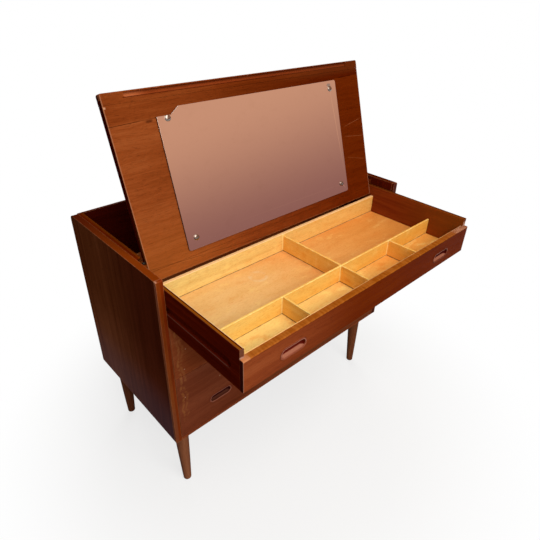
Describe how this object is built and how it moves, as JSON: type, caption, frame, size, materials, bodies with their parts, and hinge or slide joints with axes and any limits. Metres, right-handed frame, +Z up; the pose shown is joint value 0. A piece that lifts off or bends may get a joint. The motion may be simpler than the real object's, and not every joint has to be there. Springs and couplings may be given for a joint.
{
  "type": "dressing chest of drawers",
  "caption": "Low teak chest of drawers on turned legs, with a sliding and tilting top that carries a mirror over a shallow drawer of compartments.",
  "frame": {"origin": "on the floor, under the middle of the bounding box at rest, with the shallow drawer out and the lid raised", "axes": "X across the width to the viewer's right, Y from the drawer fronts to the back, +Z up"},
  "size_m": [0.9, 0.709, 1.1273],
  "materials": {
    "teak_side": "oiled teak veneer, satin",
    "teak_front": "oiled teak veneer, satin",
    "teak_lid": "oiled teak veneer, satin",
    "teak_edge": "oiled solid teak, satin",
    "teak_turned": "oiled turned teak, satin",
    "teak_dark": "stained wood, matt",
    "beech": "clear lacquer, satin",
    "birch_ply": "clear lacquer, satin",
    "mirror_glass": "silvered glass",
    "chrome_cap": "polished",
    "pin_steel": "turned"
  },
  "bodies": {
    "carcass": {"side_panel_left": "teak_side", "side_panel_right": "teak_side", "side_lipping_left": "teak_edge", "side_lipping_right": "teak_edge", "bottom_panel": "teak_dark", "back_panel": "teak_dark", "guide_strip_left": "teak_dark", "guide_strip_right": "teak_dark", "runner_top_left": "beech", "runner_top_right": "beech", "runner_middle_left": "beech", "runner_middle_right": "beech", "runner_bottom_left": "beech", "runner_bottom_right": "beech", "leg_front_left": "teak_turned", "leg_front_right": "teak_turned", "leg_rear_left": "teak_turned", "leg_rear_right": "teak_turned"},
    "lid_pins": {"lid_pin_left": "pin_steel", "lid_pin_right": "pin_steel"},
    "lid": {"lid_panel": "teak_lid", "lid_front_rail": "teak_lid", "lid_rear_rail": "teak_lid", "mirror": "mirror_glass", "mirror_screw_front_left": "chrome_cap", "mirror_screw_front_right": "chrome_cap", "mirror_screw_rear_left": "chrome_cap", "mirror_screw_rear_right": "chrome_cap"},
    "top_drawer": {"drawer_top_front": "teak_front", "drawer_top_pull_left": "teak_edge", "drawer_top_pull_right": "teak_edge", "drawer_top_side_left": "teak_front", "drawer_top_side_right": "teak_front", "drawer_top_back": "beech", "drawer_top_floor": "birch_ply", "divider_long": "beech", "divider_rear": "beech", "divider_front_1": "beech", "divider_front_2": "beech", "divider_front_3": "beech"},
    "middle_drawer": {"drawer_middle_front": "teak_front", "drawer_middle_pull_left": "teak_edge", "drawer_middle_pull_right": "teak_edge", "drawer_middle_side_left": "beech", "drawer_middle_side_right": "beech", "drawer_middle_back": "beech", "drawer_middle_floor": "birch_ply"},
    "bottom_drawer": {"drawer_bottom_front": "teak_front", "drawer_bottom_pull_left": "teak_edge", "drawer_bottom_pull_right": "teak_edge", "drawer_bottom_side_left": "beech", "drawer_bottom_side_right": "beech", "drawer_bottom_back": "beech", "drawer_bottom_floor": "birch_ply"}
  },
  "joints": [
    {"name": "top_drawer_slide", "type": "slide", "parent": "carcass", "child": "top_drawer", "axis": [0, -1, 0], "range_m": [-0.267, 0.04]},
    {"name": "middle_drawer_slide", "type": "slide", "parent": "carcass", "child": "middle_drawer", "axis": [0, -1, 0], "range_m": [0, 0.3]},
    {"name": "bottom_drawer_slide", "type": "slide", "parent": "carcass", "child": "bottom_drawer", "axis": [0, -1, 0], "range_m": [0, 0.3]},
    {"name": "lid_slide", "type": "slide", "parent": "carcass", "child": "lid_pins", "axis": [0, 1, 0], "range_m": [0, 0.28]},
    {"name": "lid_tilt", "type": "hinge", "parent": "lid_pins", "child": "lid", "pos_m": [0, 0.0145, 0.771], "axis": [1, 0, 0], "range_deg": [0, 107]}
  ]
}
